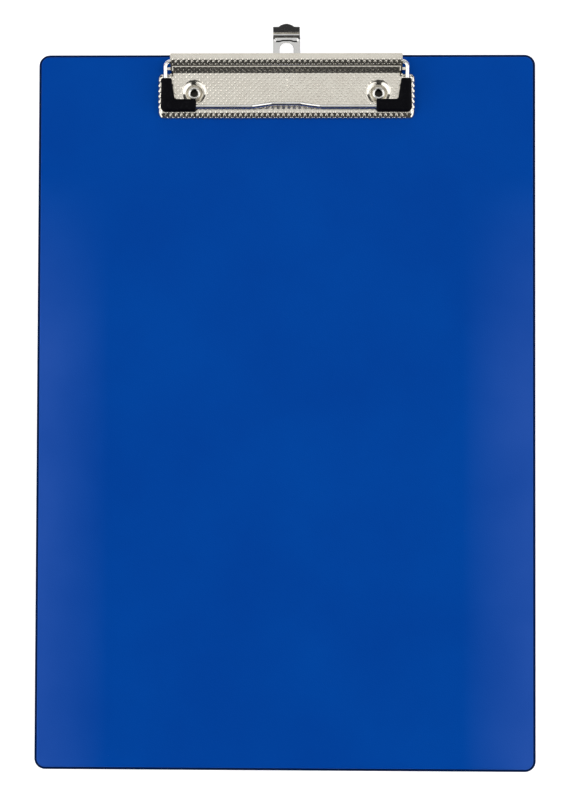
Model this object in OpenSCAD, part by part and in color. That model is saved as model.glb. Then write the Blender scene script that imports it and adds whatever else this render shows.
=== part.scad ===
// Clipboard with a wire-bow clip and a pull-out hanging hook.
// Lies on its back: X across, Y towards the clip end, Z up out of the writing face.
// Origin: centre of the flat back face. Millimetres.

/* [Board] */
// Width of the board
board_w = 232; // [200:1:260]
// Length of the board
board_l = 333; // [300:1:360]
// Thickness of the stiff core sheet
core_t = 2; // [1.5:0.1:3]
// Thickness of each cover foil
foil_t = 0.3; // [0.2:0.05:0.4]
// Radius of the board's corners
corner_r = 5; // [4:0.5:12]
// Width of the welded foil rim outside the raised face
weld_w = 1.2; // [0.8:0.1:2]

/* [Clip base] */
// Width of the clip base plate
base_w = 120; // [110:1:130]
// Depth of the base plate's raised deck
base_d = 21.4; // [20.5:0.1:23]
// Sheet thickness of the base plate
sheet_t = 0.5; // [0.4:0.05:0.6]
// Height of the deck's top above the board
deck_h = 2.4; // [2.2:0.1:2.6]
// Distance from the board's rear edge to the deck's rear end
deck_back = 9.1; // [9:0.1:9.6]
// Slope of the upturned rear wall
ramp_angle = 40; // [36:1:42]
// Height of the upturned rear wall's top above the board
ramp_h = 4.4; // [4:0.1:4.4]

/* [Bow and lever] */
// Diameter of the spring wire
wire_d = 1.9; // [1.7:0.05:1.95]
// Distance from the board's rear edge to the hinge axis
pivot_back = 4.1; // [3.9:0.1:4.2]
// Height of the hinge axis above the board
pivot_h = 4.1; // [4:0.05:4.3]
// Half the distance between the centre lines of the bow's arms
arm_x = 56.3; // [56:0.1:56.5]
// Distance from the hinge axis to the front bar
bow_reach = 21.1; // [20.5:0.1:21.4]
// Rise of the hump in the middle of the front bar
hump_h = 2; // [1:0.1:3]
// Width of the lever plate
lever_w = 108; // [108:0.1:108.2]
// Sheet thickness of the lever plate
lever_t = 0.45; // [0.4:0.05:0.5]

/* [Corner sleeves] */
// Width of a sleeve arm
sleeve_w = 5; // [4.4:0.1:5.2]
// Height of a sleeve arm
sleeve_h = 3.2; // [2.8:0.1:3.2]
// Length of the sleeve arm along the side of the bow
sleeve_side = 12.6; // [10:0.1:13]
// Length of the sleeve arm along the front bar
sleeve_front = 14.5; // [12:0.1:16]

/* [Rivets] */
// Distance between the two rivets
rivet_pitch = 86; // [80:1:88]
// Distance from the board's rear edge to the rivets
rivet_back = 18.6; // [18:0.1:19]
// Shank diameter
rivet_d = 4; // [3.6:0.1:4.2]
// Diameter of the rolled collar in the dish
collar_d = 6; // [5.6:0.1:6.2]

/* [Hanging hook] */
// Width of the hook strip
hook_w = 12.5; // [12:0.1:12.5]
// Thickness of the hook strip
hook_t = 0.7; // [0.5:0.05:0.8]
// Width of the slot in the hook
slot_w = 7.1; // [6:0.1:7.5]
// Distance that the slot's round end stands past the board's rear edge
slot_out = 6; // [5:0.1:6.2]
// Distance from the board's rear edge to the foot of the finger lip
lip_out = 8.5; // [8:0.1:9]
// Slope of the finger lip
lip_angle = 42; // [35:1:50]

/* [Hidden] */
$fn = 48;

slip = 0.05;                              // gap round a pin or a shank
board_t = core_t + 2 * foil_t;
core_inset = weld_w + foil_t;             // from the outline to the core
wire_r = wire_d / 2;
pin_hole_r = wire_r + slip;
rivet_x = rivet_pitch / 2;
rivet_r = rivet_d / 2;
board_hole_r = rivet_r + slip;

seat_r = 4;                               // pressed seat for a rivet head in the back
seat_depth = 0.75;
head_gap = 0.05;                          // head below the back face
head_r = 3.75;
head_rim_r = 3.2;

deck_front = deck_back + base_d;          // front of the base plate, from the rear edge
ear_in = base_w / 2 - 7.25;               // inner face of an ear
rim_r = deck_h;                           // outer radius of the rolled rims
dish_r = 5.7;                             // pressed dish at each rivet
dish_floor_r = 4;
lug_gap = 0.25;                           // hook guides
lug_t = 0.5;
pip_back = 14.1;                          // stop pip that runs in the hook's slot
pip_r = 1.25;

curl_r = 1.95;                            // outside of the lever's curl round the wire
curl_in_r = curl_r - lever_t;
leaf_back = 0.6;                          // leaf's rear edge, from the board's rear edge
leaf_len = pivot_back - leaf_back;
cheek_in = lever_w / 2 - lever_t - 0.05;  // inner face of a lever cheek
finger_w = 3.2;                           // lifting fingers under the bow's arms
finger_d = 1.3;
finger_reach = 3.9;

leg_bend_r = 2.55;                        // centre-line radius of the wire's rear bends
bar_bend_r = 3;                           // and of its front bends
leg_in = 12;                              // inner end of each leg
hump_foot = 15.9;                         // half-widths of the hump at its foot and its top
hump_top = 6.2;
hump_back = 1;                            // how far the hump leans to the rear
hump_bend_r = 6;

strip_gap = 0.15;                         // between the board and the hook
hook_tail = 20;                           // inner end of the hook, from the rear edge
lip_bend_r = 0.8;                         // inside of the bend at the lip's foot
lip_len = 4.4;                            // lip at its sides, along its slope
dome_h = 1.55;                            // dome in the middle of the lip's edge
dome_r = 4.6;
slot_tail = pip_back + pip_r + 0.15;

module rounded_plate(w, l, r, t) {
    linear_extrude(t) union() {
        square([w - 2 * r, l], center = true);
        square([w, l - 2 * r], center = true);
        for (sx = [-1, 1], sy = [-1, 1])
            translate([sx * (w / 2 - r), sy * (l / 2 - r)]) circle(r);
    }
}

// Plate of the board's shape, drawn in by inset all round
module board_plate(inset, t) {
    rounded_plate(board_w - 2 * inset, board_l - 2 * inset, corner_r - inset, t);
}

// The clip's own frame: middle of the board's rear edge, on the writing face, +Y still to the rear
module at_clip() {
    translate([0, board_l / 2, board_t]) children();
}

// Both rivet places, in the clip's frame
module at_rivets() {
    for (side = [-1, 1]) translate([side * rivet_x, -rivet_back, 0]) children();
}

module rivet_holes(r) {
    at_clip() at_rivets() translate([0, 0, -board_t - 1]) cylinder(h = board_t + 2, r = r);
}

module back_foil() {
    color("royalblue") {
        difference() {
            board_plate(0, foil_t);
            rivet_holes(seat_r);
        }
        at_clip() at_rivets() translate([0, 0, -board_t]) rotate_extrude() polygon([
            [seat_r, 0], [seat_r, seat_depth], [board_hole_r, seat_depth],
            [board_hole_r, seat_depth + foil_t], [seat_r + foil_t, seat_depth + foil_t],
            [seat_r + foil_t, foil_t], [seat_r + foil_t, 0]]);
    }
}

module board_core() {
    color("tan") difference() {
        translate([0, 0, foil_t]) board_plate(core_inset, core_t);
        rivet_holes(board_hole_r);
        at_clip() at_rivets() translate([0, 0, -board_t])
            cylinder(h = seat_depth + foil_t, r = seat_r + foil_t);
    }
}

module front_foil() {
    color("royalblue") difference() {
        union() {
            translate([0, 0, foil_t]) board_plate(0, foil_t);
            translate([0, 0, foil_t]) board_plate(weld_w, board_t - foil_t);
        }
        board_plate(core_inset, foil_t + core_t);
        rivet_holes(board_hole_r);
    }
}

// Section of a rolled rim: a quarter ring, outward along X and up along Y
module rim_section() {
    intersection() {
        difference() {
            circle(r = rim_r);
            circle(r = rim_r - sheet_t);
        }
        square(rim_r);
    }
}

// Straight rolled rim that runs along X and rolls down towards -Y
module rim_run(length) {
    rotate([90, 0, -90]) translate([0, 0, -length / 2]) linear_extrude(length) rim_section();
}

// Plate from the deck's front to its back between two X positions
module deck_part(x0, x1, y0, y1) {
    translate([x0, y0, deck_h - sheet_t]) cube([x1 - x0, y1 - y0, sheet_t]);
}

// Pressed dish round a rivet, with its floor on the board
module dish() {
    wall = sqrt(pow(dish_r - dish_floor_r, 2) + pow(deck_h - sheet_t, 2));
    run = (dish_r - dish_floor_r) / wall;
    drop = (deck_h - sheet_t) / wall;
    lower_floor_r = dish_floor_r + sheet_t * (1 - run) / drop;
    lower_top_r = dish_r + sheet_t * (1 - run) / drop;
    rotate_extrude() polygon([
        [board_hole_r, 0], [lower_floor_r, 0], [lower_top_r, deck_h - sheet_t],
        [dish_r + 1, deck_h - sheet_t], [dish_r + 1, deck_h], [dish_r, deck_h],
        [dish_floor_r, sheet_t], [board_hole_r, sheet_t]]);
}

// Rear wall that the deck turns up into, between the ears
module rear_wall() {
    rise = ramp_h - deck_h;
    run = rise / tan(ramp_angle);
    back_y = sheet_t * sin(ramp_angle);
    back_z = sheet_t * cos(ramp_angle);
    rotate([90, 0, 90]) translate([0, 0, -ear_in - sheet_t]) linear_extrude(2 * (ear_in + sheet_t))
        polygon([
            [-deck_back, deck_h - sheet_t], [-deck_back, deck_h], [-deck_back + run, ramp_h],
            [-deck_back + run + back_y, ramp_h - back_z],
            [-deck_back + sheet_t * tan(ramp_angle / 2), deck_h - sheet_t]]);
}

// Upturned ear that carries the wire's leg: a disc, a neck, a foot under the curl and a front web
module ear() {
    disc_r = curl_in_r - 0.08;
    neck_w = 1;
    foot_top = pivot_h - curl_r - 0.35;
    web_front = deck_back + 1.6;
    web_back = pivot_back + curl_r + 0.3;
    rotate([90, 0, 90]) linear_extrude(sheet_t) difference() {
        union() {
            translate([-pivot_back, pivot_h]) circle(r = disc_r);
            translate([-pivot_back - neck_w / 2, 0]) square([neck_w, pivot_h]);
            translate([-web_front, 0]) square([web_front - pivot_back + neck_w / 2, foot_top]);
            polygon([[-web_front, 0], [-web_front, deck_h], [-deck_back + 0.6, ramp_h],
                     [-web_back, ramp_h], [-web_back, 0]]);
        }
        translate([-pivot_back, pivot_h]) circle(r = pin_hole_r);
    }
}

module clip_base_plate() {
    flat_x = base_w / 2 - rim_r;
    front_y = -deck_front + rim_r;
    rear_y = -deck_back - rim_r;
    ear_out = ear_in + sheet_t;
    color("gainsboro") at_clip() {
        difference() {
            union() {
                deck_part(-flat_x, flat_x, front_y, rear_y);
                deck_part(-ear_out, ear_out, rear_y, -deck_back);
            }
            at_rivets() translate([0, 0, -1]) cylinder(h = deck_h + 2, r = dish_r + 1);
            translate([0, -pip_back, 0]) cylinder(h = deck_h + 1, r = pip_r);
        }
        at_rivets() dish();
        translate([0, front_y, 0]) rim_run(2 * flat_x);
        for (side = [-1, 1]) {
            translate([side * flat_x, (front_y + rear_y) / 2, 0])
                rotate(side * 90) rim_run(rear_y - front_y);
            translate([side * (ear_out + flat_x) / 2, rear_y, 0]) rotate(180) rim_run(flat_x - ear_out);
            translate([side * flat_x, rear_y, 0])
                rotate(side > 0 ? 0 : 90) rotate_extrude(angle = 90) rim_section();
            translate([side * flat_x, front_y, 0])
                rotate(side > 0 ? -90 : 180) rotate_extrude(angle = 90) rim_section();
            translate([side > 0 ? ear_in : -ear_out, 0, 0]) ear();
            translate([side * (hook_w / 2 + lug_gap + lug_t / 2) - lug_t / 2, -deck_back - 10, slip])
                cube([lug_t, 9, deck_h - sheet_t - slip]);
        }
        rear_wall();
        // stop pip, hollow from above
        translate([0, -pip_back, 0]) rotate_extrude() polygon([
            [0, 0.4], [pip_r, 0.4], [pip_r, deck_h], [pip_r - 0.45, deck_h], [pip_r - 0.45, 0.9],
            [0, 0.9]]);
    }
}

module lever_plate() {
    curl_turn = 155;                      // the curl runs from the leaf over the front, this far round
    finger_top = -wire_r - 0.1;
    color("silver") at_clip() translate([0, -pivot_back, pivot_h]) {
        translate([-lever_w / 2, 0, curl_in_r]) cube([lever_w, leaf_len, lever_t]);
        rotate([0, 90, 0]) rotate(180) rotate_extrude(angle = curl_turn)
            translate([curl_in_r, -lever_w / 2]) square([lever_t, lever_w]);
        for (side = [-1, 1]) mirror([side > 0 ? 0 : 1, 0, 0]) {
            translate([cheek_in, 0, 0]) rotate([90, 0, 90])
                linear_extrude(lever_w / 2 - cheek_in) difference() {
                    union() {
                        circle(r = curl_r);
                        polygon([[0, 0], [-curl_r, 0], [-finger_reach, finger_top],
                                 [-finger_reach, finger_top - lever_t], [0, -curl_r]]);
                    }
                    circle(r = pin_hole_r);
                }
            translate([cheek_in, -finger_reach, finger_top - lever_t])
                cube([lever_w / 2 - cheek_in + finger_w, finger_d, lever_t]);
        }
    }
}

// One half of the bow's wire. It starts at [0, 0, 0] along +Z. A step is [length] for a straight
// run, or [roll, radius, turn] to roll about the wire and then bend towards +X.
module wire(steps, i = 0) {
    if (i < len(steps)) {
        s = steps[i];
        if (len(s) == 1) {
            cylinder(h = s[0], r = wire_r);
            translate([0, 0, s[0]]) wire(steps, i + 1);
        } else {
            rotate(s[0]) {
                translate([s[1], 0, 0]) rotate([90, 0, 0]) rotate(180)
                    rotate_extrude(angle = -s[2]) translate([s[1], 0]) circle(r = wire_r);
                translate([s[1] * (1 - cos(s[2])), 0, s[1] * sin(s[2])]) rotate([0, s[2], 0])
                    wire(steps, i + 1);
            }
        }
    }
}

module wire_bow() {
    lean = atan2(hump_h, hump_back);
    rise = norm([hump_h, hump_back]);
    slope = atan(rise / (hump_foot - hump_top));
    tangent = hump_bend_r * tan(slope / 2);
    half = [
        [hump_top - tangent],
        [0, hump_bend_r, slope],
        [(hump_foot - hump_top) / cos(slope) - 2 * tangent],
        [180, hump_bend_r, slope],
        [arm_x - bar_bend_r - hump_foot - tangent],
        [-lean, bar_bend_r, 90],
        [bow_reach - bar_bend_r - leg_bend_r],
        [0, leg_bend_r, 90],
        [arm_x - leg_bend_r - leg_in]];
    color("whitesmoke") at_clip() translate([0, -pivot_back - bow_reach + hump_back, pivot_h + hump_h])
        for (side = [-1, 1]) mirror([side > 0 ? 0 : 1, 0, 0])
            rotate([lean - 90, 0, 0]) rotate([0, 90, 0]) wire(half);
}

// Flat-sided tube section: width along X, height along Y
module sleeve_section() {
    difference() {
        intersection() {
            circle(d = sleeve_w);
            square([sleeve_w, sleeve_h], center = true);
        }
        circle(r = wire_r + 0.02);
    }
}

// Sleeve on the +X front corner of the bow
module corner_sleeve() {
    color("black") at_clip() translate([arm_x, -pivot_back - bow_reach, pivot_h]) {
        translate([0, bar_bend_r, 0]) rotate([-90, 0, 0])
            linear_extrude(sleeve_side - bar_bend_r) sleeve_section();
        translate([-bar_bend_r, 0, 0]) rotate([0, -90, 0])
            linear_extrude(sleeve_front - bar_bend_r) rotate(90) sleeve_section();
        translate([-bar_bend_r, bar_bend_r, 0]) rotate(-90) rotate_extrude(angle = 90)
            translate([bar_bend_r, 0]) sleeve_section();
    }
}

module left_corner_sleeve() {
    mirror([1, 0, 0]) corner_sleeve();
}

module right_corner_sleeve() {
    corner_sleeve();
}

// Hollow rivet: head sunk in the back, collar rolled over in the dish
module rivet(side) {
    bore_r = rivet_r - 0.4;
    roll_r = (collar_d / 2 - bore_r) / 2;
    roll_z = sheet_t + roll_r;
    color("lightgray") at_clip() translate([side * rivet_x, -rivet_back, 0]) {
        translate([0, 0, -board_t + head_gap])
            cylinder(h = seat_depth - head_gap, r1 = head_rim_r, r2 = head_r);
        translate([0, 0, -board_t + seat_depth]) difference() {
            cylinder(h = board_t - seat_depth + roll_z, r = rivet_r);
            translate([0, 0, 0.6]) cylinder(h = board_t + 2, r = bore_r);
        }
        translate([0, 0, roll_z]) rotate_extrude() translate([bore_r + roll_r, 0]) circle(r = roll_r);
    }
}

module left_rivet() {
    rivet(-1);
}

module right_rivet() {
    rivet(1);
}

module hanging_hook() {
    arch_r = slot_w / 2;
    color("silver") at_clip() translate([0, 0, strip_gap]) {
        linear_extrude(hook_t) difference() {
            translate([-hook_w / 2, -hook_tail]) square([hook_w, hook_tail + lip_out]);
            translate([0, slot_out - arch_r]) circle(r = arch_r);
            translate([-arch_r, -slot_tail]) square([slot_w, slot_tail + slot_out - arch_r]);
        }
        translate([0, lip_out, hook_t + lip_bend_r]) {
            rotate([0, 90, 0]) rotate_extrude(angle = lip_angle)
                translate([lip_bend_r, -hook_w / 2]) square([hook_t, hook_w]);
            rotate([lip_angle, 0, 0]) translate([0, 0, -lip_bend_r - hook_t])
                linear_extrude(hook_t) union() {
                    translate([-hook_w / 2, 0]) square([hook_w, lip_len]);
                    intersection() {
                        translate([0, lip_len + dome_h - dome_r]) circle(r = dome_r);
                        translate([-dome_r, 0]) square(2 * dome_r);
                    }
                }
        }
    }
}

back_foil();
board_core();
front_foil();
clip_base_plate();
lever_plate();
wire_bow();
left_corner_sleeve();
right_corner_sleeve();
left_rivet();
right_rivet();
hanging_hook();
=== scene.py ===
"""Looks of a clipboard with a wire-bow clip and a pull-out hanging hook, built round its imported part.

Shapes are worked out in millimetres in the clip's own frame: X across, Y to the rear, Z up, with the
origin on the writing face at the middle of the board's rear edge. Place turns them into metres in
the part's frame. A shape is a grid of points, rows by columns by three, and a closed shell is a set
of grids whose borders coincide and are merged.
"""
import logging
import math
from collections.abc import Callable, Sequence
from dataclasses import dataclass, field
from enum import Enum

import bmesh
import bpy
import numpy as np
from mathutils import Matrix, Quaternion, Vector
from mathutils.geometry import tessellate_polygon


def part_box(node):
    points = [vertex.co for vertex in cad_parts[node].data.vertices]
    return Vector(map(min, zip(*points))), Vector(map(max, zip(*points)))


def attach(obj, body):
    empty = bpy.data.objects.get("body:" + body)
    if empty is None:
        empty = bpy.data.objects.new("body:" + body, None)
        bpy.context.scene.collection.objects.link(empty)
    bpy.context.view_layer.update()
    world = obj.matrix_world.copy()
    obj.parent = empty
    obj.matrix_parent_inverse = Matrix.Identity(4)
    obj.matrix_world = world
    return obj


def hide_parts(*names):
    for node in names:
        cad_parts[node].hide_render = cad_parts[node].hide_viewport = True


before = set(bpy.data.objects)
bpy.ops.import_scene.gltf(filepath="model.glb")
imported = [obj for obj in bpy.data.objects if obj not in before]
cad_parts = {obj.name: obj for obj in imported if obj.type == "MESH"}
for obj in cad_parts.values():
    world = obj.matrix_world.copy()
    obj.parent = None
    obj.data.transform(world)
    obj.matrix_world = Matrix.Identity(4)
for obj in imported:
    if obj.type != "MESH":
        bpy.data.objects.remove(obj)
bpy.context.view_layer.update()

log = logging.getLogger("clipboard")

MM = 0.001
MERGE = 2e-6                     # points nearer than this, in metres, are one point
COARSE = 3                       # steps of a visible face to one step of its hidden underside

Colour = tuple[float, float, float]
Surface = Callable[[np.ndarray, np.ndarray, float], np.ndarray]


class Side(Enum):
    """The two ends of the clip."""

    LEFT = -1
    RIGHT = 1


# Shapes worked out as arrays


def ease(t: np.ndarray) -> np.ndarray:
    """Soft step from 0 to 1: t * t * (3 - 2 t), held at its ends."""
    t = np.clip(t, 0, 1)
    return t * t * (3 - 2 * t)


def arc(centre: Sequence[float], radius: float, start: float, end: float, steps: int) -> np.ndarray:
    """Points of a flat arc: centre + radius * (cos a, sin a), with a in degrees.

    Args:
        centre: middle of the arc.
        radius: its radius.
        start: first angle.
        end: last angle.
        steps: number of chords.

    Returns:
        An array of steps + 1 points in two coordinates.
    """
    a = np.radians(np.linspace(start, end, steps + 1))
    return np.array(centre) + radius * np.stack([np.cos(a), np.sin(a)], -1)


def runs(stops: Sequence[float], counts: Sequence[int]) -> list[np.ndarray]:
    """Even grid lines in each gap between the stops.

    Args:
        stops: where the gaps begin and end.
        counts: steps in each gap.

    Returns:
        One array of lines for each gap, ends included.
    """
    return [np.linspace(a, b, n + 1) for a, b, n in zip(stops, stops[1:], counts)]


def joined(lines: Sequence[np.ndarray]) -> np.ndarray:
    """One array of lines through neighbouring gaps, with each shared stop once."""
    return np.concatenate([line[:-1] for line in lines] + [lines[-1][-1:]])


def raised(flat: np.ndarray, z: np.ndarray | float) -> np.ndarray:
    """Flat points given the height z."""
    return np.concatenate([flat, np.broadcast_to(z, flat.shape[:-1])[..., None]], -1)


def border(xs: np.ndarray, ys: np.ndarray, turns: int) -> tuple[np.ndarray, np.ndarray]:
    """Once round a rectangle, each point with the direction that leads out of it.

    At a corner the point stays and its direction turns a right angle in even steps, so that
    point + distance * direction draws a rectangle with round corners.

    Args:
        xs: grid lines across.
        ys: grid lines along.
        turns: steps of each corner.

    Returns:
        The points and their outward directions, the first one repeated at the end.
    """
    stay = np.ones(turns)
    x = [xs[:-1], xs[-1] * stay, xs[-1] + 0 * ys[:-1], xs[-1] * stay,
         xs[:0:-1], xs[0] * stay, xs[0] + 0 * ys[:0:-1], xs[0] * stay, xs[:1]]
    y = [ys[0] + 0 * xs[:-1], ys[0] * stay, ys[:-1], ys[-1] * stay,
         ys[-1] + 0 * xs[:0:-1], ys[-1] * stay, ys[:0:-1], ys[0] * stay, ys[:1]]
    fan = np.linspace(0, 90, turns, endpoint=False)
    angles = [-90 + 0 * xs[:-1], -90 + fan, 0 * ys[:-1], fan, 90 + 0 * xs[:0:-1], 90 + fan,
              180 + 0 * ys[:0:-1], 180 + fan, np.array([270.0])]
    a = np.radians(np.concatenate(angles))
    return (np.stack([np.concatenate(x), np.concatenate(y)], -1),
            np.stack([np.cos(a), np.sin(a)], -1))


def rings_in_square(xs: np.ndarray, ys: np.ndarray, radii: np.ndarray, spread: int) -> np.ndarray:
    """Rings round the middle of a square, circles at first and the square itself at the end.

    Along each direction the distance is a radius from the list, and then grows in even steps from
    the last radius to the square's border.

    Args:
        xs: grid lines across the square.
        ys: grid lines along it.
        radii: radii of the circles, the hole's first.
        spread: steps from the last circle to the square.

    Returns:
        Flat points, rings by directions.
    """
    square = border(xs, ys, 0)[0]
    middle = np.array([xs[0] + xs[-1], ys[0] + ys[-1]]) / 2
    reach = np.linalg.norm(square - middle, axis=-1)
    way = (square - middle) / reach[:, None]
    out = radii[-1] + (reach - radii[-1]) * np.arange(1, spread + 1)[:, None] / spread
    far = np.concatenate([np.broadcast_to(radii[:, None], (len(radii), len(reach))), out])
    return middle + way * far[..., None]


def pierced(xs: Sequence[np.ndarray], ys: Sequence[np.ndarray], holes: Sequence[tuple[int, int]],
            radii: np.ndarray, spread: int) -> tuple[list[np.ndarray], list[np.ndarray]]:
    """A rectangle in blocks, some of them with rings round a hole.

    Args:
        xs: grid lines of each block across.
        ys: grid lines of each block along.
        holes: which blocks have a hole, by their two numbers.
        radii: see rings_in_square.
        spread: see rings_in_square.

    Returns:
        The plain blocks and the blocks with rings, as flat points.
    """
    plain = [np.stack(np.meshgrid(x, y, indexing="ij"), -1) for i, x in enumerate(xs)
             for j, y in enumerate(ys) if (i, j) not in holes]
    ringed = [rings_in_square(xs[i], ys[j], radii, spread) for i, j in holes]
    return plain, ringed


@dataclass
class Section:
    """A bent line in Y and Z that is walked by its length, with its outer side on the left."""

    points: np.ndarray
    lengths: np.ndarray = field(init=False)
    normals: np.ndarray = field(init=False)

    def __post_init__(self) -> None:
        """Works out the length so far and the left-hand normal at each point."""
        steps = np.linalg.norm(np.diff(self.points, axis=0), axis=1)
        self.lengths = np.concatenate([[0], np.cumsum(steps)])
        along = np.gradient(self.points, self.lengths, axis=0)
        along /= np.linalg.norm(along, axis=1, keepdims=True)
        self.normals = np.stack([-along[:, 1], along[:, 0]], -1)

    def at(self, s: np.ndarray, lift: np.ndarray | float) -> tuple[np.ndarray, np.ndarray]:
        """Y and Z at the length s, moved out by lift along the normal."""
        y, z = (np.interp(s, self.lengths, self.points[:, k])
                + lift * np.interp(s, self.lengths, self.normals[:, k]) for k in (0, 1))
        return y, z


def rounded_path(corners: np.ndarray, radii: Sequence[float], steps: int, spacing: float) -> np.ndarray:
    """A wire's centre line: straight runs joined by arcs of the given radii.

    With a the direction in, n the side it turns to and f the angle turned so far, an arc is
    start + radius * (sin f * a + (1 - cos f) * n).

    Args:
        corners: corner points, with the two ends.
        radii: bend radius at each inner corner.
        steps: chords of each arc.
        spacing: longest step of a straight run.

    Returns:
        Points along the line.
    """
    bends = []
    for before, corner, after, radius in zip(corners, corners[1:], corners[2:], radii):
        a = (corner - before) / np.linalg.norm(corner - before)
        b = (after - corner) / np.linalg.norm(after - corner)
        turn = math.acos(float(a @ b))
        n = (b - a * math.cos(turn)) / math.sin(turn)
        f = np.linspace(0, turn, steps + 1)[:, None]
        start = corner - a * radius * math.tan(turn / 2)
        bends.append(start + radius * (np.sin(f) * a + (1 - np.cos(f)) * n))
    stops = [corners[:1], *bends, corners[-1:]]
    line = []
    for bend, following in zip(stops, stops[1:]):
        count = max(1, math.ceil(float(np.linalg.norm(following[0] - bend[-1])) / spacing))
        line += [bend[:-1], np.linspace(bend[-1], following[0], count + 1)[:-1]]
    return np.concatenate([*line, corners[-1:]])


def tube(path: np.ndarray, radius: float, around: int, dome: float) -> np.ndarray:
    """A round wire carried along a path that never runs upright, with domed ends.

    A ring is path + r * (cos a * side + sin a * up), with side square to the path and level. Past
    each end, r shrinks as radius * cos b while the ring moves out by dome * sin b.

    Args:
        path: points of the centre line.
        radius: radius of the wire.
        around: sides of a ring.
        dome: how far the ends stand out.

    Returns:
        Points, rings by sides, closed round the wire and at both ends.
    """
    b = np.radians(np.linspace(0, 90, 6))[1:]
    way = np.gradient(path, axis=0)
    way /= np.linalg.norm(way, axis=1, keepdims=True)
    out = dome * np.sin(b)[:, None]
    line = np.concatenate([(path[0] - out * way[0])[::-1], path, path[-1] + out * way[-1]])
    way = np.concatenate([np.repeat(way[:1], 5, 0), way, np.repeat(way[-1:], 5, 0)])
    r = radius * np.concatenate([np.cos(b)[::-1], np.ones(len(path)), np.cos(b)])
    side = np.cross(way, (0, 0, 1))
    side /= np.linalg.norm(side, axis=1, keepdims=True)
    up = np.cross(side, way)
    a = np.radians(np.linspace(0, 360, around + 1))[None, :, None]
    return line[:, None] + r[:, None, None] * (np.cos(a) * side[:, None] + np.sin(a) * up[:, None])


def turned(profile: np.ndarray, centre: Sequence[float], around: int) -> np.ndarray:
    """A profile in radius and height spun round an upright axis: (r cos a, r sin a, z)."""
    a = np.radians(np.linspace(0, 360, around + 1))[None]
    r, z = profile[:, :1], profile[:, 1:]
    return np.stack([centre[0] + r * np.cos(a), centre[1] + r * np.sin(a), z + 0 * a], -1)


def embossing(u: np.ndarray, v: np.ndarray, pitch: float, radius: float) -> np.ndarray:
    """Round studs where two families of diagonals cross, from 0 to 1.

    With s = (u + v) / pitch and t = (u - v) / pitch, a stud stands at each pair of whole numbers.
    Its height is (1 - d2 / radius2) squared, with d the distance from its middle.

    Args:
        u: developed lengths across.
        v: developed lengths along.
        pitch: distance between studs in one row.
        radius: radius of a stud.

    Returns:
        The relative height at each point.
    """
    s, t = (u + v) / pitch, (u - v) / pitch
    d2 = pitch ** 2 * ((s - np.round(s)) ** 2 + (t - np.round(t)) ** 2) / 2
    return np.clip(1 - d2 / radius ** 2, 0, None) ** 2


# From arrays to pieces


@dataclass(frozen=True)
class Place:
    """Where the clip's frame lies in the part: the board's rear edge and its writing face."""

    rear: float
    face: float
    half_width: float
    half_length: float

    @classmethod
    def from_frame(cls) -> "Place":
        """Reads the place from the CAD's front cover."""
        low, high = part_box("front_foil")
        return cls(rear=high.y / MM, face=high.z / MM, half_width=high.x / MM,
                   half_length=(high.y - low.y) / 2 / MM)

    def to_part(self, points: np.ndarray) -> np.ndarray:
        """Points of the clip's frame, in millimetres, as metres in the part's frame."""
        return (points + (0, self.rear, self.face)) * MM


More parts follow.
